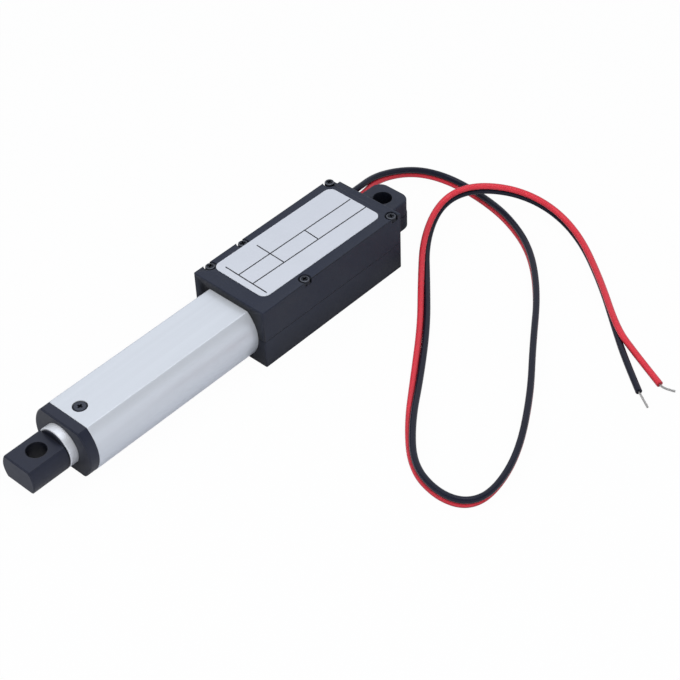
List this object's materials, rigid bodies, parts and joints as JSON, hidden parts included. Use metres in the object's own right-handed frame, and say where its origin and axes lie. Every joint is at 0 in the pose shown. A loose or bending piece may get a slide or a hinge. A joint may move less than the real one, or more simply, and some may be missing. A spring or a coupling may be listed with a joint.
{
  "type": "micro linear actuator",
  "caption": "Small electric linear actuator: boxed gearmotor with a rear eye, flatted tube, sliding rod with a cross-drilled end, and a bonded red and black lead with stripped tips.",
  "frame": {"origin": "where the axis of the rear eye's hole meets the rod's axis", "axes": "+X along the rod towards the rod end, +Z along the eye holes towards the label, rod fully in"},
  "size_m": [0.1305, 0.0865, 0.0147],
  "materials": {
    "housing_plastic": "fine moulded texture",
    "black_plastic": "satin moulded",
    "anodised_aluminium": "satin anodised",
    "rod_steel": "polished",
    "bright_steel": "ground",
    "dark_steel": "blackened",
    "label_film": "satin film with ruled lines and no lettering",
    "nut_plastic": "acetal",
    "brass": "cut",
    "wiper_rubber": "matte",
    "motor_end_plastic": "moulded",
    "circuit_board": "solder mask",
    "switch_plastic": "moulded",
    "red_insulation": "glossy PVC",
    "black_insulation": "glossy PVC",
    "tinned_wire": "tinned strands"
  },
  "bodies": {
    "base": {"housing_upper": "housing_plastic", "housing_lower": "housing_plastic", "housing_screws": "dark_steel", "rating_label": "label_film", "outer_tube": "anodised_aluminium", "front_cap": "black_plastic", "cap_screw": "dark_steel", "wiper_ring": "wiper_rubber", "bearing_outer_race": "bright_steel", "motor_can": "bright_steel", "motor_end_cap": "motor_end_plastic", "motor_terminals": "brass", "gearbox_rear_plate": "brass", "gearbox_front_plate": "brass", "gearbox_pillars": "bright_steel", "gear_arbor": "bright_steel", "terminal_board": "circuit_board", "limit_board": "circuit_board", "limit_switches": "switch_plastic", "blocking_diodes": "switch_plastic", "lead_black": "black_insulation", "lead_red": "red_insulation", "lead_black_tip": "tinned_wire", "lead_red_tip": "tinned_wire"},
    "carriage": {"push_rod": "rod_steel", "rod_end": "black_plastic", "drive_nut": "nut_plastic"},
    "screw": {"lead_screw": "bright_steel", "screw_coupling": "brass", "coupling_pins": "bright_steel", "output_shaft": "bright_steel", "output_gear": "brass", "bearing_inner_race": "bright_steel"},
    "third_wheel": {"third_gear": "brass"},
    "second_wheel": {"second_gear": "brass"},
    "first_wheel": {"first_gear": "brass"},
    "motor_rotor": {"motor_shaft": "bright_steel", "motor_pinion": "brass"},
    "ball_ring": {"bearing_balls": "bright_steel"}
  },
  "joints": [
    {"name": "rod_slide", "type": "slide", "parent": "base", "child": "carriage", "axis": [1, 0, 0], "range_m": [0, 0.04]},
    {"name": "screw_spin", "type": "hinge", "parent": "base", "child": "screw", "pos_m": [0.0335, 0, 0], "axis": [-1, 0, 0], "range_deg": [0, 7201]},
    {"name": "third_gear_spin", "type": "hinge", "parent": "base", "child": "third_wheel", "pos_m": [0.0277, 0.0029, 0], "axis": [-1, 0, 0], "range_deg": [-13681, 0]},
    {"name": "second_gear_spin", "type": "hinge", "parent": "base", "child": "second_wheel", "pos_m": [0.0264, 0, 0], "axis": [-1, 0, 0], "range_deg": [0, 25993]},
    {"name": "first_gear_spin", "type": "hinge", "parent": "base", "child": "first_wheel", "pos_m": [0.0251, 0.0029, 0], "axis": [-1, 0, 0], "range_deg": [-49386, 0]},
    {"name": "motor_spin", "type": "hinge", "parent": "base", "child": "motor_rotor", "pos_m": [0.0225, 0, 0], "axis": [-1, 0, 0], "range_deg": [0, 93833]},
    {"name": "ball_orbit", "type": "hinge", "parent": "base", "child": "ball_ring", "pos_m": [0.0355, 0, 0], "axis": [-1, 0, 0], "range_deg": [0, 2881]}
  ],
  "couplings": [
    {"joint": "screw_spin", "follows": "rod_slide", "rad_per_m": 3141.6},
    {"joint": "third_gear_spin", "follows": "rod_slide", "rad_per_m": -5969},
    {"joint": "second_gear_spin", "follows": "rod_slide", "rad_per_m": 11341},
    {"joint": "first_gear_spin", "follows": "rod_slide", "rad_per_m": -21548},
    {"joint": "motor_spin", "follows": "rod_slide", "rad_per_m": 40942},
    {"joint": "ball_orbit", "follows": "rod_slide", "rad_per_m": 1256.6}
  ]
}
